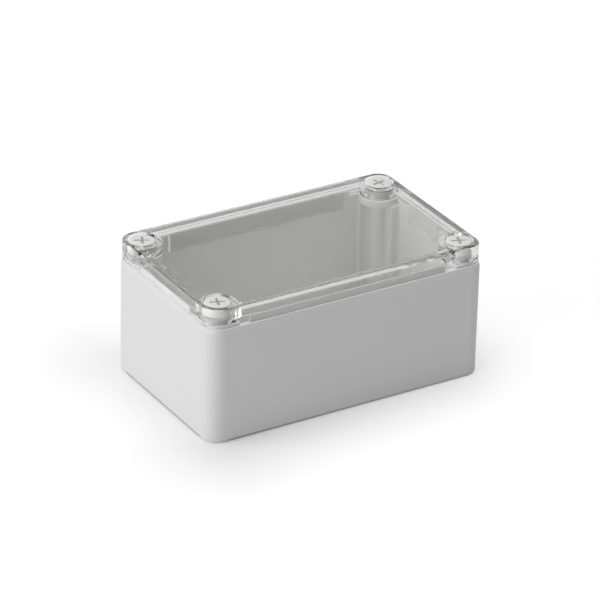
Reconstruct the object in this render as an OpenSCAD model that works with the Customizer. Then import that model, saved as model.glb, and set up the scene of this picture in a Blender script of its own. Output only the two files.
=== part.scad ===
// Small sealed project box: a moulded grey base, a clear lid and four captive corner screws.
// Millimetres. The origin is at the bottom centre, on the plane of the feet. X is the length.

/* [Box] */
// Length outside
box_l = 130; // [110:1:180]
// Width outside
box_w = 80; // [70:1:120]
// Height from the feet to the top of the lid
box_h = 60; // [52:1:90]
// Radius of the upright corners
corner_r = 7; // [5:0.5:9]
// Distance of a screw from the end of the box
screw_from_end = 8; // [8:0.25:10]
// Distance of a screw from the side of the box
screw_from_side = 9; // [9:0.25:11]

/* [Base] */
// Thickness of the base walls
wall_t = 3.5; // [3.3:0.1:4]
// Thickness of the base floor
floor_t = 3; // [2:0.25:5]
// Rounding of the bottom edge
bottom_round = 0.8; // [0.4:0.1:1.2]
// Width of the slanted edge round the rim
slant_w = 0.6; // [0.3:0.1:0.9]
// Height of the slanted edge
slant_h = 2; // [1:0.25:3]
// Height of the locating lips above the rim
lip_h = 3; // [2:0.25:3.5]
// Distance from a screw to the end of the lip beside it
lip_from_screw = 11; // [10:0.5:14]
// Radius of the seat on each screw column
seat_r = 8.4; // [7.5:0.1:9]
// Height of a seat above the rim
seat_rise = 1; // [0.3:0.1:2]
// Thickness of a seat, from its top down
seat_t = 2.8; // [2:0.1:5]
// Radius of the screw column under a seat
column_r = 4; // [3.9:0.1:4.6]
// Reach of the column's shoulder along the long wall, from the screw axis
shoulder_l = 6.3; // [6:0.1:8]
// Depth of the shoulder on the long wall
shoulder_l_depth = 1.4; // [1:0.1:2]
// Reach of the column's shoulder along the end wall, from the screw axis
shoulder_w = 9.5; // [8.5:0.1:11]
// Depth of the shoulder on the end wall
shoulder_w_depth = 3.8; // [3:0.1:4.2]
// Radius of the coves where the shoulders meet the walls
cove_r = 1; // [0.5:0.25:3]

/* [Feet] */
// Height of the corner feet
foot_h = 0.6; // [0.4:0.1:1.5]
// Side of a corner foot
foot_size = 9.5; // [8:0.5:14]
// Distance of a foot from the outline of the box
foot_inset = 0.6; // [0.4:0.1:1.5]

/* [Board bosses] */
// Distance between the board bosses along the box
boss_pitch_l = 86; // [60:1:90]
// Distance between the board bosses across the box
boss_pitch_w = 46; // [30:1:50]
// Radius of a board boss
boss_r = 3.5; // [3:0.25:4.5]
// Height of a board boss above the floor
boss_h = 5; // [3:0.5:12]
// Radius of the pilot hole in a board boss
pilot_r = 1.3; // [1:0.1:1.8]
// Depth of the pilot hole
pilot_depth = 6; // [4:0.5:7]

/* [Lid] */
// Height of the lid above the parting line
lid_h = 9; // [8.6:0.2:14]
// Step from the outline of the base to the lid's wall
lid_inset = 0.6; // [0.3:0.1:0.9]
// Thickness of the lid's outer wall
lid_wall = 1.7; // [1.4:0.1:2]
// Thickness of the lid's top panel
panel_t = 3.5; // [2.5:0.25:4.5]
// Rounding of the lid's top edge
lid_round = 1.2; // [0.6:0.1:1.5]
// Rounding of the lower edge of the lid's wall
lid_foot_round = 0.5; // [0.2:0.1:0.8]
// Gap between a lip and the lid above and outside it
lip_gap = 0.2; // [0.1:0.05:0.4]
// Thickness of the skirts that reach into the base
skirt_t = 1.8; // [1.2:0.1:2.5]
// Depth of the skirts below the rim
skirt_drop = 4.4; // [1:0.2:6]
// Gap between a skirt and the base wall
skirt_gap = 0.3; // [0.2:0.05:0.6]
// Distance from a screw to the end of the skirt on the long side
skirt_from_screw_l = 15; // [12:0.5:24]
// Distance from a screw to the end of the skirt on the short side
skirt_from_screw_w = 20.5; // [12:0.5:24]
// Gap between a seat and the lid's boss above it
boss_gap = 0.7; // [0.1:0.1:1]
// Radius of the solid boss round each screw well
well_boss_r = 8.4; // [8:0.1:9]
// Thickness of the floor of a screw well
well_floor_t = 1.6; // [1.2:0.1:2]

/* [Gasket] */
// Width of the gasket's groove in the rim
gasket_w = 1.1; // [0.8:0.05:1.15]
// Depth of the gasket's groove
gasket_depth = 1.5; // [1:0.1:3]
// Distance of the groove from the outline of the box
gasket_inset = 1.05; // [1:0.05:1.2]
// Height of the gasket above the rim
gasket_proud = 0.1; // [0.05:0.05:0.3]
// Gap between the gasket and the walls of its groove
gasket_gap = 0.05; // [0.02:0.01:0.1]

/* [Screws] */
// Radius of a screw head
head_r = 5.4; // [5:0.1:5.6]
// Depth of the head's top below the lid's top
head_sunk = 0.5; // [0:0.1:1]
// Rounding of the head's top edge
head_round = 0.5; // [0.2:0.1:0.8]
// Gap between a head and its well
head_gap = 0.8; // [0.3:0.1:1]
// Thickness of the sealing washer under a head
washer_t = 0.9; // [0.6:0.1:1.4]
// Gap between the washer and its well
washer_gap = 0.2; // [0.1:0.05:0.3]
// Radius of the thick collar under the head, which fills the hole in the lid
collar_r = 4.2; // [3.5:0.1:4.5]
// Radius of the screw's neck below the collar
neck_r = 2; // [1.7:0.1:2.1]
// Radius over the screw's thread
thread_r = 2.6; // [2.4:0.1:2.8]
// Length of the thread
thread_l = 8; // [6:0.5:10]
// How far a screw rises before its thread lets go
screw_rise = 6; // [4:0.5:6]
// Running clearance of the thread in its column, on the radius
thread_clear = 0.05; // [0.02:0.01:0.1]
// Clearance round the collar and the thread where they pass freely, on the radius
passing_clear = 0.25; // [0.15:0.05:0.3]
// Length of the cross recess across the head
recess_l = 7; // [5:0.2:8]
// Width of the cross recess
recess_w = 1.3; // [1:0.1:1.8]
// Depth of the cross recess
recess_depth = 2.2; // [1.5:0.1:3]

/* [Hidden] */
$fn = 64;
cut = 1;
screw_x = box_l / 2 - screw_from_end;
screw_y = box_w / 2 - screw_from_side;
// Levels above the feet
floor_z = foot_h + floor_t;
rim_z = box_h - lid_h;
seat_z = rim_z + seat_rise;
seat_under = seat_z - seat_t;
lip_z = rim_z + lip_h;
lid_z = rim_z + gasket_proud;
groove_z = lip_z + lip_gap;
skirt_z = rim_z - skirt_drop;
panel_z = box_h - panel_t;
boss_z = seat_z + boss_gap;
well_z = boss_z + well_floor_t;
washer_z = well_z + washer_t;
head_z = box_h - head_sunk;
// Levels down a screw and its column
thread_top = seat_under - screw_rise;
thread_end = thread_top - thread_l;
column_thread_top = thread_end + screw_rise;
column_hole_end = thread_end - 2;
// Distances in from the outline of the box
groove_out = lid_inset + lid_wall;
skirt_out = wall_t + skirt_gap;
skirt_in = skirt_out + skirt_t;
well_r = head_r + head_gap;

// Calls its children once at each corner screw, mirrored to suit the corner
module each_corner() {
    for (sx = [-1, 1])
        for (sy = [-1, 1])
            translate([sx * screw_x, sy * screw_y])
                mirror([sx < 0 ? 1 : 0, 0])
                    mirror([0, sy < 0 ? 1 : 0])
                        children();
}

// A flat rectangle with rounded corners, centred
module rounded_rectangle(l, w, r) {
    square([l - 2 * r, w], center = true);
    square([l, w - 2 * r], center = true);
    for (x = [-1, 1])
        for (y = [-1, 1])
            translate([x * (l / 2 - r), y * (w / 2 - r)])
                circle(r = r);
}

// The outline of the box, moved in by a distance
module outline(inset) {
    rounded_rectangle(box_l - 2 * inset, box_w - 2 * inset, corner_r - inset);
}

// Straight strips along all four walls, between two distances from the outline.
// They end short of the screws by one distance along the box and another across it.
module wall_strips(from, to, short_l, short_w) {
    for (side = [-1, 1]) {
        translate([-(screw_x - short_l), side * (box_w / 2 - (from + to) / 2) - (to - from) / 2])
            square([2 * (screw_x - short_l), to - from]);
        translate([side * (box_l / 2 - (from + to) / 2) - (to - from) / 2, -(screw_y - short_w)])
            square([to - from, 2 * (screw_y - short_w)]);
    }
}

// A ring that follows the outline of the box, between two distances from it
module outline_ring(from, to) {
    difference() {
        outline(from);
        outline(to);
    }
}

// Section through the edge of the base, from a corner's centre outwards: round below, slanted above
module base_section(h) {
    square([corner_r - bottom_round, h - slant_h]);
    translate([0, bottom_round])
        square([corner_r, h - slant_h - bottom_round]);
    translate([corner_r - bottom_round, bottom_round])
        circle(r = bottom_round);
    polygon([[0, h - slant_h], [corner_r, h - slant_h], [corner_r - slant_w, h], [0, h]]);
}

// Section through the edge of the lid, from a corner's centre outwards: round below and above
module lid_section(h) {
    reach = corner_r - lid_inset;
    square([reach - lid_round, h]);
    translate([0, lid_foot_round])
        square([reach, h - lid_foot_round - lid_round]);
    translate([reach - lid_foot_round, lid_foot_round])
        circle(r = lid_foot_round);
    translate([reach - lid_round, h - lid_round])
        circle(r = lid_round);
    square([reach - lid_foot_round, h / 2]);
}

// A block with the box's upright corners, whose edges all round have the section of its child
module edged_block(h) {
    l = box_l - 2 * corner_r;
    w = box_w - 2 * corner_r;
    translate([-l / 2, -w / 2, 0])
        cube([l, w, h]);
    for (a = [0, 180])
        rotate(a) {
            translate([l / 2, w / 2, 0])
                rotate([90, 0, 0])
                    linear_extrude(w)
                        children();
            translate([-l / 2, w / 2, 0])
                rotate([90, 0, 90])
                    linear_extrude(l)
                        children();
            translate([l / 2, w / 2, 0])
                rotate_extrude(angle = 90)
                    children();
            translate([-l / 2, w / 2, 0])
                rotate(90)
                    rotate_extrude(angle = 90)
                        children();
        }
}

// The hollow of the base below the seats: the walls, the corner columns and their shoulders
module base_hollow() {
    inner_l = box_l - 2 * wall_t;
    inner_w = box_w - 2 * wall_t;
    rounded_rectangle(2 * (screw_x - shoulder_l), inner_w, cove_r);
    rounded_rectangle(inner_l, 2 * (screw_y - shoulder_w), cove_r);
    square([2 * (screw_x - column_r), inner_w - 2 * shoulder_l_depth], center = true);
    square([inner_l - 2 * shoulder_w_depth, 2 * (screw_y - column_r)], center = true);
    difference() {
        square([2 * screw_x, 2 * screw_y], center = true);
        each_corner()
            circle(r = column_r);
    }
}

module foot() {
    intersection() {
        outline(foot_inset);
        translate([box_l / 2 - foot_size, box_w / 2 - foot_size])
            square(foot_size);
    }
}

// The discs round the corner screws, kept inside a distance from the outline
module corner_discs(r, inset) {
    intersection() {
        outline(inset);
        each_corner()
            circle(r = r);
    }
}

module base() {
    color("gainsboro")
        difference() {
            union() {
                translate([0, 0, foot_h])
                    edged_block(rim_z - foot_h)
                        base_section(rim_z - foot_h);
                translate([0, 0, rim_z - cut])
                    linear_extrude(lip_h + cut)
                        wall_strips(groove_out + lip_gap, wall_t, lip_from_screw, lip_from_screw);
                translate([0, 0, rim_z - cut])
                    linear_extrude(seat_rise + cut)
                        corner_discs(seat_r, groove_out + lip_gap);
                for (x = [0, 1])
                    for (y = [0, 1])
                        mirror([x, 0, 0])
                            mirror([0, y, 0])
                                linear_extrude(foot_h + cut)
                                    foot();
            }
            difference() {
                translate([0, 0, floor_z])
                    linear_extrude(seat_under - floor_z)
                        base_hollow();
                for (x = [-1, 1])
                    for (y = [-1, 1])
                        translate([x * boss_pitch_l / 2, y * boss_pitch_w / 2, floor_z - cut])
                            cylinder(h = boss_h + cut, r = boss_r);
            }
            translate([0, 0, seat_under])
                linear_extrude(lip_z - seat_under + cut)
                    difference() {
                        outline(wall_t);
                        corner_discs(seat_r, wall_t - cut);
                    }
            translate([0, 0, rim_z - gasket_depth])
                linear_extrude(gasket_depth + cut)
                    outline_ring(gasket_inset, gasket_inset + gasket_w);
            each_corner() {
                translate([0, 0, column_thread_top])
                    cylinder(h = box_h, r = thread_r + passing_clear);
                translate([0, 0, column_hole_end])
                    cylinder(h = box_h, r = thread_r + thread_clear);
            }
            for (x = [-1, 1])
                for (y = [-1, 1])
                    translate([x * boss_pitch_l / 2, y * boss_pitch_w / 2, floor_z + boss_h - pilot_depth])
                        cylinder(h = pilot_depth + cut, r = pilot_r);
        }
}

module lid() {
    color("white", 0.35)
        difference() {
            union() {
                difference() {
                    translate([0, 0, lid_z])
                        edged_block(box_h - lid_z)
                            lid_section(box_h - lid_z);
                    translate([0, 0, rim_z - cut])
                        linear_extrude(groove_z - rim_z + cut)
                            outline(groove_out);
                    translate([0, 0, rim_z - cut])
                        linear_extrude(panel_z - rim_z + cut)
                            outline(skirt_in);
                }
                translate([0, 0, boss_z])
                    linear_extrude(panel_z - boss_z + cut)
                        corner_discs(well_boss_r, lid_inset + lid_wall / 2);
                translate([0, 0, skirt_z])
                    linear_extrude(panel_z - skirt_z)
                        wall_strips(skirt_out, skirt_in, skirt_from_screw_l, skirt_from_screw_w);
            }
            each_corner() {
                translate([0, 0, well_z])
                    cylinder(h = box_h, r = well_r);
                translate([0, 0, boss_z - cut])
                    cylinder(h = box_h, r = collar_r + passing_clear);
            }
        }
}

module gasket() {
    color("lightgray")
        translate([0, 0, rim_z - gasket_depth])
            linear_extrude(gasket_depth + gasket_proud)
                outline_ring(gasket_inset + gasket_gap, gasket_inset + gasket_w - gasket_gap);
}

// Half of the section of a screw, from its axis out
module screw_section() {
    translate([0, washer_z]) {
        square([head_r - head_round, head_z - washer_z]);
        square([head_r, head_z - washer_z - head_round]);
        translate([head_r - head_round, head_z - washer_z - head_round])
            circle(r = head_round);
    }
    translate([0, boss_z])
        square([collar_r, washer_z - boss_z]);
    translate([0, thread_end])
        square([neck_r, boss_z - thread_end]);
    translate([0, thread_end])
        square([thread_r, thread_l]);
}

module screw(x, y, turn) {
    color("whitesmoke")
        translate([x * screw_x, y * screw_y])
            rotate(turn)
                difference() {
                    rotate_extrude()
                        screw_section();
                    for (a = [0, 90])
                        rotate(a)
                            translate([-recess_l / 2, -recess_w / 2, head_z - recess_depth])
                                cube([recess_l, recess_w, recess_depth + cut]);
                }
}

module washer(x, y) {
    color("dimgray")
        translate([x * screw_x, y * screw_y, well_z])
            difference() {
                cylinder(h = washer_t, r = well_r - washer_gap);
                translate([0, 0, -cut])
                    cylinder(h = washer_t + 2 * cut, r = collar_r + thread_clear);
            }
}

base();
lid();
gasket();
screw(-1, -1, -20);  // screw_front_left
screw(1, -1, -20);  // screw_front_right
screw(-1, 1, -27);  // screw_back_left
screw(1, 1, 11);  // screw_back_right
washer(-1, -1);  // washer_front_left
washer(1, -1);  // washer_front_right
washer(-1, 1);  // washer_back_left
washer(1, 1);  // washer_back_right
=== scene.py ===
import math

import bmesh
import bpy
from mathutils import Matrix, Vector


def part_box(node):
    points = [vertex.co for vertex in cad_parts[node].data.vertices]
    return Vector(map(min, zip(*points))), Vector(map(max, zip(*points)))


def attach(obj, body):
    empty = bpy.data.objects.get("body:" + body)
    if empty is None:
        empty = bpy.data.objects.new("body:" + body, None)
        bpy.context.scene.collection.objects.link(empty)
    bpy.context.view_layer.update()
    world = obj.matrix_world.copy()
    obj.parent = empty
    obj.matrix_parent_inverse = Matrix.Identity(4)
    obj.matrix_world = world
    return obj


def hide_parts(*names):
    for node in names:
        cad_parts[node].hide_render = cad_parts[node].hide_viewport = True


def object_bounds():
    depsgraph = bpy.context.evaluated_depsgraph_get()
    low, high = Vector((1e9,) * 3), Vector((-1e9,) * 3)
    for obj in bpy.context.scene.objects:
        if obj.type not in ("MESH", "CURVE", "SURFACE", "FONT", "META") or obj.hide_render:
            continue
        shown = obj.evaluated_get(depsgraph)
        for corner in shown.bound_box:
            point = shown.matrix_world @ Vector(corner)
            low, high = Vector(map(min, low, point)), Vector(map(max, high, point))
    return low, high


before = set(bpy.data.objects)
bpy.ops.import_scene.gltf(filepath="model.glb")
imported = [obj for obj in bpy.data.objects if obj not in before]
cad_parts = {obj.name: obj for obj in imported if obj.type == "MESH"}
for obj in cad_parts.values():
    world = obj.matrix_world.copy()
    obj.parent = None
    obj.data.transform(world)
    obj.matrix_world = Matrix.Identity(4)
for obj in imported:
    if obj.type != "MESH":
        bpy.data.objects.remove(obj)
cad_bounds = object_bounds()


# The base is one injection moulding in light grey polycarbonate, with a fine spark-eroded skin outside.
# It comes out of a two-part mould, so its walls are plain and its edges only slightly broken.
def feed(tree, socket, value):
    if isinstance(value, bpy.types.NodeSocket):
        tree.links.new(value, socket)
    else:
        socket.default_value = value


def node(tree, kind, **inputs):
    made = tree.nodes.new(kind)
    for name, value in inputs.items():
        feed(tree, made.inputs[name.replace("_", " ")], value)
    return made


def maths(tree, operation, first, second):
    made = tree.nodes.new("ShaderNodeMath")
    made.operation = operation
    feed(tree, made.inputs[0], first)
    feed(tree, made.inputs[1], second)
    return made.outputs["Value"]


def vector_maths(tree, operation, first, second=(0, 0, 0)):
    made = tree.nodes.new("ShaderNodeVectorMath")
    made.operation = operation
    feed(tree, made.inputs[0], first)
    feed(tree, made.inputs[1], second)
    return made


def moulded_skin_group():
    tree = bpy.data.node_groups.new("moulded_skin", "ShaderNodeTree")
    usual = {"Colour": (0.6, 0.6, 0.6, 1), "Grain Size": 0.0004, "Grain Depth": 0.1, "Roughness": 0.5}
    for name, value in usual.items():
        kind = "NodeSocketColor" if name == "Colour" else "NodeSocketFloat"
        tree.interface.new_socket(name, in_out="INPUT", socket_type=kind).default_value = value
    tree.interface.new_socket("Colour", in_out="OUTPUT", socket_type="NodeSocketColor")
    tree.interface.new_socket("Roughness", in_out="OUTPUT", socket_type="NodeSocketFloat")
    tree.interface.new_socket("Normal", in_out="OUTPUT", socket_type="NodeSocketVector")
    asked = tree.nodes.new("NodeGroupInput")
    given = tree.nodes.new("NodeGroupOutput")
    place = tree.nodes.new("ShaderNodeTexCoord").outputs["Object"]

    # The grain that the eroded mould leaves
    grain_height = 0.00002
    grains = maths(tree, "DIVIDE", 1, asked.outputs["Grain Size"])
    grain = node(tree, "ShaderNodeTexNoise", Vector=place, Scale=grains, Detail=2, Roughness=0.6)
    bump = node(tree, "ShaderNodeBump", Distance=grain_height, Strength=asked.outputs["Grain Depth"],
                Height=grain.outputs["Fac"])
    feed(tree, given.inputs["Normal"], bump.outputs["Normal"])

    # Soft flow marks, some centimetres wide, that change the colour and the gloss a little
    marks_per_metre = 22
    tone_change = 0.015
    flow = node(tree, "ShaderNodeTexNoise", Vector=place, Scale=marks_per_metre, Detail=3, Roughness=0.5)
    tone = node(tree, "ShaderNodeMapRange", Value=flow.outputs["Fac"],
                To_Min=1 - tone_change, To_Max=1 + tone_change).outputs["Result"]
    tinted = vector_maths(tree, "SCALE", asked.outputs["Colour"])
    feed(tree, tinted.inputs["Scale"], tone)
    feed(tree, given.inputs["Colour"], tinted.outputs["Vector"])
    feed(tree, given.inputs["Roughness"], maths(tree, "MULTIPLY", asked.outputs["Roughness"], tone))
    return tree


moulded_skin = moulded_skin_group()


def skinned_material(name, colour, roughness):
    made = bpy.data.materials.new(name)
    made.use_nodes = True
    tree = made.node_tree
    surface = tree.nodes["Principled BSDF"]
    skin = tree.nodes.new("ShaderNodeGroup")
    skin.node_tree = moulded_skin
    feed(tree, skin.inputs["Colour"], (*colour, 1))
    feed(tree, skin.inputs["Roughness"], roughness)
    feed(tree, surface.inputs["Base Color"], skin.outputs["Colour"])
    feed(tree, surface.inputs["Roughness"], skin.outputs["Roughness"])
    return made, surface, skin


def moulded_plastic(name, colour, roughness, grain_size, grain_depth):
    made, surface, skin = skinned_material(name, colour, roughness)
    surface.inputs["IOR"].default_value = 1.5
    skin.inputs["Grain Size"].default_value = grain_size
    skin.inputs["Grain Depth"].default_value = grain_depth
    feed(made.node_tree, surface.inputs["Normal"], skin.outputs["Normal"])
    return made


def dress(part, material):
    for slot in part.material_slots:
        slot.material = material


base_grey = (0.676, 0.679, 0.677)
base_plastic = moulded_plastic("base_grey_plastic", base_grey, roughness=0.5, grain_size=0.00035,
                               grain_depth=0.25)
dress(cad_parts["base"], base_plastic)


# The gasket is an endless cord of soft grey foam, laid into the groove in the base's rim.
# It stands slightly proud of the rim, so the lid's wall presses on it when the screws are tight.
gasket_grey = (0.66, 0.66, 0.65)
gasket_foam = moulded_plastic("gasket_foam", gasket_grey, roughness=0.8, grain_size=0.0002, grain_depth=0.4)
dress(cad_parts["gasket"], gasket_foam)


# The lid is one injection moulding in clear polycarbonate, polished on both sides.
# Its corners are solid bosses with a well for each screw, and its skirts reach down inside the base.
def clear_plastic(name, colour, roughness, ior, passed_light):
    made, glass, _ = skinned_material(name, colour, roughness)
    glass.inputs["IOR"].default_value = ior
    glass.inputs["Transmission Weight"].default_value = 1
    # A shadow ray goes straight through each face and loses what a real face reflects
    tree = made.node_tree
    rays = tree.nodes.new("ShaderNodeLightPath")
    see_through = node(tree, "ShaderNodeBsdfTransparent", Color=(passed_light, passed_light, passed_light, 1))
    either = tree.nodes.new("ShaderNodeMixShader")
    feed(tree, either.inputs["Fac"], rays.outputs["Is Shadow Ray"])
    feed(tree, either.inputs[1], glass.outputs["BSDF"])
    feed(tree, either.inputs[2], see_through.outputs["BSDF"])
    feed(tree, tree.nodes["Material Output"].inputs["Surface"], either.outputs["Shader"])
    return made


lid_tint = (0.94, 0.94, 0.925)
lid_plastic = clear_plastic("lid_clear_polycarbonate", lid_tint, roughness=0.06, ior=1.585, passed_light=0.97)
dress(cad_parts["lid"], lid_plastic)


# A washer of grey rubber seals each screw's hole in the lid.
# It is punched from sheet, lies on the floor of the well under the head, and grips the screw's collar.
washer_grey = (0.5, 0.5, 0.49)
washer_rubber = moulded_plastic("washer_rubber", washer_grey, roughness=0.7, grain_size=0.0003,
                                grain_depth=0.3)
for corner in ("front_left", "front_right", "back_left", "back_right"):
    dress(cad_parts[f"washer_{corner}"], washer_rubber)


# The lid screws are moulded in white polyamide, with a tapered cross recess for a wide screwdriver.
# Under the round head a collar fills the lid's hole, and below it a neck carries the coarse thread.
# Points closer together than this are one point
same_point = 0.000001


def screw_body(head_r, length):
    # The head stops a hair above the washer, so that the two faces never share a plane
    head_h, head_round = 0.00428, 0.0005
    collar_r, collar_h, edge = 0.0042, 0.00252, 0.0002
    neck_r, tip_r, tip_h = 0.002, 0.0014, 0.0006
    sides, round_steps = 64, 6
    head_z = length - head_h
    collar_z = head_z - collar_h
    profile = [(0, 0), (tip_r, 0), (neck_r, tip_h), (neck_r, collar_z),
               (collar_r - edge, collar_z), (collar_r, collar_z + edge), (collar_r, head_z),
               (head_r - edge, head_z), (head_r, head_z + edge)]
    for step in range(round_steps + 1):
        a = math.pi / 2 * step / round_steps
        profile.append((head_r - head_round * (1 - math.cos(a)), length - head_round * (1 - math.sin(a))))
    profile.append((0, length))
    built = bmesh.new()
    points = [built.verts.new((r, 0, z)) for r, z in profile]
    edges = [built.edges.new(pair) for pair in zip(points, points[1:])]
    bmesh.ops.spin(built, geom=points + edges, cent=(0, 0, 0), axis=(0, 0, 1), angle=math.tau, steps=sides)
    bmesh.ops.remove_doubles(built, verts=built.verts, dist=same_point)
    bmesh.ops.recalc_face_normals(built, faces=built.faces)
    return built


def screw_thread(built):
    root_r, crest_r, length, pitch = 0.0019, 0.0026, 0.008, 0.0015
    half_root, half_crest = 0.0005, 0.00012
    per_turn = 32
    run_in = per_turn / 4
    steps = int((length - 2 * half_root) / pitch * per_turn)
    rings = []
    for i in range(steps + 1):
        a = math.tau * i / per_turn
        z = half_root + pitch * i / per_turn
        # Both ends of the thread run down to a point inside the neck
        grown = min(1, i / run_in, (steps - i) / run_in)
        r = root_r + (crest_r - root_r) * grown
        root, crest = half_root * grown, half_crest * grown
        section = ((root_r, z - root), (r, z - crest), (r, z + crest), (root_r, z + root))
        rings.append([built.verts.new((far * math.cos(a), far * math.sin(a), up)) for far, up in section])
    for one, other in zip(rings, rings[1:]):
        for k in range(4):
            built.faces.new((one[k - 1], other[k - 1], other[k], one[k]))
    bmesh.ops.remove_doubles(built, verts=[point for ring in rings for point in ring], dist=same_point)
    bmesh.ops.recalc_face_normals(built, faces=built.faces)


def cross_cutter(length):
    depth, above = 0.0022, 0.001
    half_l_top, half_l_foot = 0.0035, 0.0026
    half_w_top, half_w_foot = 0.00065, 0.00045
    built = bmesh.new()
    for turned in (False, True):
        corners = []
        for z, half_l, half_w in ((-depth, half_l_foot, half_w_foot), (above, half_l_top, half_w_top)):
            for x, y in ((-half_l, -half_w), (half_l, -half_w), (half_l, half_w), (-half_l, half_w)):
                corners.append(built.verts.new((y, x, length + z) if turned else (x, y, length + z)))
        for loop in ((0, 1, 2, 3), (4, 5, 6, 7), (0, 1, 5, 4), (1, 2, 6, 5), (2, 3, 7, 6), (3, 0, 4, 7)):
            built.faces.new([corners[k] for k in loop])
    bmesh.ops.recalc_face_normals(built, faces=built.faces)
    return built


def as_object(built, name):
    mesh = bpy.data.meshes.new(name)
    built.to_mesh(mesh)
    built.free()
    made = bpy.data.objects.new(name, mesh)
    bpy.context.scene.collection.objects.link(made)
    return made


def screw_mesh(head_r, length):
    sharp_edge = math.radians(40)
    body = as_object(screw_body(head_r, length), "screw_body")
    cutter = as_object(cross_cutter(length), "cross_cutter")
    carve = body.modifiers.new("cross_recess", "BOOLEAN")
    carve.object = cutter
    carve.use_self = True
    carve.solver = "EXACT"
    carved = bpy.data.meshes.new_from_object(body.evaluated_get(bpy.context.evaluated_depsgraph_get()))
    bpy.data.objects.remove(cutter)
    bpy.data.objects.remove(body)
    whole = bmesh.new()
    whole.from_mesh(carved)
    bmesh.ops.remove_doubles(whole, verts=whole.verts, dist=same_point)
    bmesh.ops.dissolve_degenerate(whole, edges=whole.edges, dist=same_point)
    screw_thread(whole)
    whole.to_mesh(carved)
    whole.free()
    carved.shade_smooth()
    carved.set_sharp_from_angle(angle=sharp_edge)
    return carved


screw_colour = (0.8, 0.8, 0.77)
screw_white = moulded_plastic("screw_white_polyamide", screw_colour, roughness=0.4, grain_size=0.0003,
                              grain_depth=0.15)
# All four screws are the same, so the first one's size serves for all
first_low, first_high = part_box("screw_front_left")
screw_shape = screw_mesh((first_high.x - first_low.x) / 2, first_high.z - first_low.z)
screw_shape.materials.append(screw_white)
# Each screw was turned home by hand, so their recesses point different ways, in degrees
turned_home = {"front_left": -20, "front_right": -20, "back_left": -27, "back_right": 11}
for corner, turn in turned_home.items():
    low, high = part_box(f"screw_{corner}")
    screw = bpy.data.objects.new(f"screw_{corner}_threaded", screw_shape)
    screw.location = ((low.x + high.x) / 2, (low.y + high.y) / 2, low.z)
    screw.rotation_euler.z = math.radians(turn)
    bpy.context.scene.collection.objects.link(screw)
    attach(screw, f"screw_{corner}")
    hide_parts(f"screw_{corner}")


# The table is plain matt white and runs out of view on all sides.
# It shows its own white to the camera, and less of it through the lid; around the box that glow is turned
# down into a painted soft shadow.
box_low, box_high = cad_bounds
box_middle = (Vector(box_low) + Vector(box_high)) / 2
# The radius of the box's upright corners
corner_r = 0.007


def seen_in_plastic(tree, rays):
    # 1 where plastic mirrors or passes what is there, and 0 where that would light a matt surface
    in_plastic = maths(tree, "MAXIMUM", rays.outputs["Is Glossy Ray"], rays.outputs["Is Transmission Ray"])
    not_as_light = maths(tree, "LESS_THAN", rays.outputs["Diffuse Depth"], 0.5)
    return maths(tree, "MULTIPLY", in_plastic, not_as_light)


def out_from_corner_centres(tree, place):
    # How far out from a rectangle that is set in by the corners' radius, so the outline lies at that radius
    to_corner_centre = (box_high[0] - box_middle.x - corner_r, box_high[1] - box_middle.y - corner_r, 0)
    from_middle = vector_maths(tree, "ABSOLUTE", place).outputs["Vector"]
    from_corner = vector_maths(tree, "SUBTRACT", from_middle, to_corner_centre).outputs["Vector"]
    outward = vector_maths(tree, "MAXIMUM", from_corner).outputs["Vector"]
    return vector_maths(tree, "LENGTH", outward).outputs["Value"]


def table_glow_and_painted_shadow(tree):
    # The table's glow is turned down near the box, to paint the box's soft shadow and a dark line along its
    # foot
    painted_shadow_reach, painted_foot_line_width = 0.08, 0.001
    white_afar, glow_left_in_painted_shadow, glow_right_in_painted_shadow = 0.3, 0.04, 0.29
    painted_foot_shade_share = 0.4
    place = tree.nodes.new("ShaderNodeTexCoord").outputs["Object"]
    along = node(tree, "ShaderNodeSeparateXYZ", Vector=place).outputs["X"]
    out = out_from_corner_centres(tree, place)
    # The painted soft shadow is deeper at the left of the box than at the right
    close = node(tree, "ShaderNodeMapRange", Value=along, From_Min=box_low[0], From_Max=box_high[0],
                 To_Min=glow_left_in_painted_shadow, To_Max=glow_right_in_painted_shadow).outputs["Result"]
    painted_soft_shadow = node(tree, "ShaderNodeMapRange", Value=out, From_Min=corner_r, From_Max=corner_r + painted_shadow_reach,
                  To_Min=close, To_Max=white_afar)
    painted_soft_shadow.interpolation_type = "SMOOTHSTEP"
    # A painted dark line along the box's foot, where the glow falls to a share of itself
    painted_foot_line_shade = node(tree, "ShaderNodeMapRange", Value=out, From_Min=corner_r - painted_foot_line_width, From_Max=corner_r,
                  To_Min=painted_foot_shade_share)
    return maths(tree, "MULTIPLY", painted_soft_shadow.outputs["Result"], painted_foot_line_shade.outputs["Result"])


def table_paint():
    share_in_plastic = 0.3
    made = bpy.data.materials.new("floor_white_and_painted_shadow")
    made.use_nodes = True
    tree = made.node_tree
    rays = tree.nodes.new("ShaderNodeLightPath")
    in_plastic = maths(tree, "MULTIPLY", seen_in_plastic(tree, rays), share_in_plastic)
    seen = maths(tree, "MAXIMUM", rays.outputs["Is Camera Ray"], in_plastic)
    surface = tree.nodes["Principled BSDF"]
    surface.inputs["Base Color"].default_value = (0.93, 0.93, 0.93, 1)
    surface.inputs["Roughness"].default_value = 0.9
    surface.inputs["Specular IOR Level"].default_value = 0.1
    surface.inputs["Emission Color"].default_value = (1, 1, 1, 1)
    # The glow carries the painted shadow around the box
    feed(tree, surface.inputs["Emission Strength"], maths(tree, "MULTIPLY", seen, table_glow_and_painted_shadow(tree)))
    return made


floor_size = 6
bpy.ops.mesh.primitive_plane_add(size=floor_size)
floor = bpy.context.object
floor.name = "floor"
floor.data.materials.append(table_paint())


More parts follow.
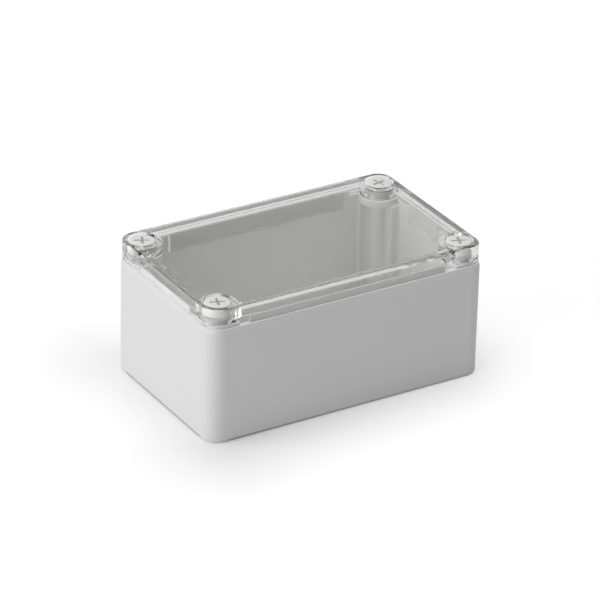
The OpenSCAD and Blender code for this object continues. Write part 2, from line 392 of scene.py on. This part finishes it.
# The camera has a long lens, stands far off in front of the box's near corner, and looks down on the lid.
# Its place was fitted to the outline of the box in the picture.
camera_turn = math.radians(-31.463)
camera_height = math.radians(27.476)
camera_roll = math.radians(1.344)
camera_distance = 1.61352
aim_right_pixels = 0.475
aim_up_pixels = 4.092
focal_pixels = 3909.15
picture_pixels = 600
sensor_mm = 36

back = Vector((math.sin(camera_turn) * math.cos(camera_height),
               -math.cos(camera_turn) * math.cos(camera_height),
               math.sin(camera_height)))
right = Vector((0, 0, 1)).cross(back).normalized()
up = back.cross(right)
pixel = camera_distance / focal_pixels
aim = box_middle + right * aim_right_pixels * pixel + up * aim_up_pixels * pixel
rolled_right = math.cos(camera_roll) * right + math.sin(camera_roll) * up
rolled_up = -math.sin(camera_roll) * right + math.cos(camera_roll) * up
lens = bpy.data.cameras.new("camera")
lens.sensor_width = sensor_mm
lens.lens = sensor_mm * focal_pixels / picture_pixels
camera = bpy.data.objects.new("camera", lens)
camera.matrix_world = (Matrix.Translation(aim + back * camera_distance)
                       @ Matrix((rolled_right, rolled_up, back)).transposed().to_4x4())
bpy.context.scene.collection.objects.link(camera)
bpy.context.scene.camera = camera


# Two softboxes light the box, a long low one at its left end and a wide one above it.
# White walls all round give the rest of the light.
def softbox(name, place, size, watts):
    light = bpy.data.lights.new(name, "AREA")
    light.shape = "RECTANGLE"
    light.size, light.size_y = size
    light.energy = watts
    lamp = bpy.data.objects.new(name, light)
    lamp.location = place
    lamp.rotation_euler = (box_middle - Vector(place)).to_track_quat("-Z", "Y").to_euler()
    bpy.context.scene.collection.objects.link(lamp)


softbox("left_softbox", place=(-1.6, 0.05, 0.45), size=(2.2, 0.8), watts=15.5)
softbox("top_softbox", place=(-0.1, 0.2, 1.6), size=(1.6, 1.6), watts=16.5)

# The plastic also mirrors the walls, which look brighter in it than the light that they give
walls_as_light, walls_in_plastic = 0.255, 0.5
walls = bpy.data.worlds.new("studio")
walls.use_nodes = True
walls_tree = walls.node_tree
mirrored = seen_in_plastic(walls_tree, walls_tree.nodes.new("ShaderNodeLightPath"))
strength = node(walls_tree, "ShaderNodeMapRange", Value=mirrored,
                To_Min=walls_as_light, To_Max=walls_in_plastic)
walls_surface = walls_tree.nodes["Background"]
walls_surface.inputs["Color"].default_value = (1, 1, 1, 1)
feed(walls_tree, walls_surface.inputs["Strength"], strength.outputs["Result"])
bpy.context.scene.world = walls

# Light bounces many times inside the clear lid before it comes out
studio = bpy.context.scene
studio.cycles.max_bounces = 32
studio.cycles.glossy_bounces = 24
studio.cycles.transmission_bounces = 32
studio.cycles.transparent_max_bounces = 32
studio.view_settings.view_transform = "Standard"
